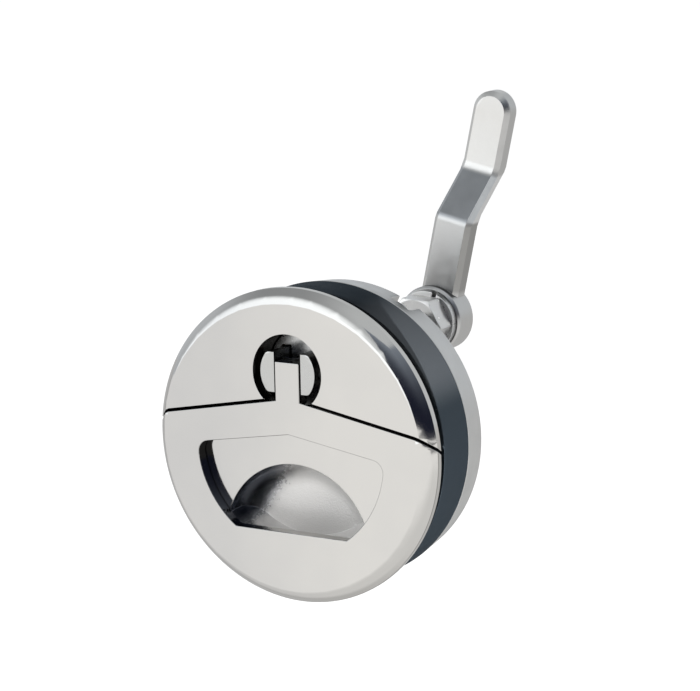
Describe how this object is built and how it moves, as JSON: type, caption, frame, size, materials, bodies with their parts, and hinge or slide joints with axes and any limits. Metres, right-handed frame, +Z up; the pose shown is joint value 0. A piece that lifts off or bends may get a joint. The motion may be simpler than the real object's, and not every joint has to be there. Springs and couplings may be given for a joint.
{
  "type": "lift ring latch",
  "caption": "Round flush latch with a folding half-moon lift handle, a threaded barrel with clamping ring nut, and a cranked arm on a spindle.",
  "frame": {"origin": "centre of the barrel at the back face of the face disc's flange, where it meets the front of the panel", "axes": "+Y along the barrel from the face into the panel, +Z up from the handle's grip towards its hinge, +X to the right seen from the front"},
  "size_m": [0.062, 0.0726, 0.0931],
  "materials": {
    "polished_stainless": "cast stainless steel, mirror polished",
    "satin_stainless": "turned stainless steel, satin",
    "turned_stainless": "turned stainless steel, bright",
    "cast_stainless": "cast stainless steel, tumbled",
    "spring_wire": "drawn spring wire",
    "black_rubber": "black moulded rubber",
    "grey_rubber": "dark blue-grey moulded rubber",
    "acetal": "natural acetal",
    "bronze": "plain bearing bronze"
  },
  "bodies": {
    "housing": {"body_casting": "polished_stainless", "flange_gasket": "black_rubber", "spacer_ring": "grey_rubber", "ring_nut": "satin_stainless", "thrust_plate": "turned_stainless", "thrust_washer": "acetal", "front_bush": "bronze", "spring_seat": "turned_stainless", "return_spring": "spring_wire", "rear_bush": "turned_stainless", "bush_gasket": "black_rubber", "rear_seal": "black_rubber"},
    "spindle": {"spindle": "turned_stainless", "hinge_pin": "turned_stainless", "spindle_seal": "black_rubber", "spring_collar": "turned_stainless", "circlip": "spring_wire"},
    "handle": {"lift_handle": "polished_stainless"},
    "arm": {"latch_arm": "cast_stainless", "split_washer": "turned_stainless", "hex_nut": "turned_stainless"}
  },
  "joints": [
    {"name": "spindle_draw", "type": "slide", "parent": "housing", "child": "spindle", "axis": [0, 1, 0], "range_m": [0, 0.0016]},
    {"name": "handle_lift", "type": "hinge", "parent": "spindle", "child": "handle", "pos_m": [0, -0.003, 0.0149], "axis": [-1, 0, 0], "range_deg": [0, 90]},
    {"name": "arm_turn", "type": "hinge", "parent": "spindle", "child": "arm", "pos_m": [0, 0.05, 0.0149], "axis": [0, 1, 0], "range_deg": [-90, 90]}
  ],
  "couplings": [
    {"joint": "handle_lift", "follows": "spindle_draw", "rad_per_m": 981.75}
  ]
}
